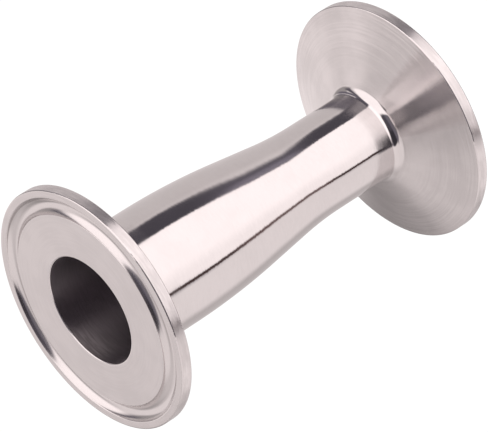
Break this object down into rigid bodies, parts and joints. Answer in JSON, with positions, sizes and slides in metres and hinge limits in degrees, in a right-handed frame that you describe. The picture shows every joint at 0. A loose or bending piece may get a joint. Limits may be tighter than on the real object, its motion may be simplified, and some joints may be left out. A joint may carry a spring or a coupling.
{
  "type": "sanitary clamp reducer",
  "caption": "Polished stainless reducer with a turned clamp ferrule on each end and a smooth tapered passage from the large bore to the small one.",
  "frame": {"origin": "centre of the small end's sealing face, which the part stands on", "axes": "+Z along the passage, from the small end up to the large end"},
  "size_m": [0.0506, 0.0506, 0.0805],
  "materials": {
    "turned_stainless": "fine turned satin on the sealing face and the sloping back, polished at the neck",
    "polished_stainless": "mirror polished stainless steel with faint polishing lines"
  },
  "bodies": {
    "root": {"large_ferrule": "turned_stainless", "reducer_body": "polished_stainless", "small_ferrule": "turned_stainless"}
  },
  "joints": []
}
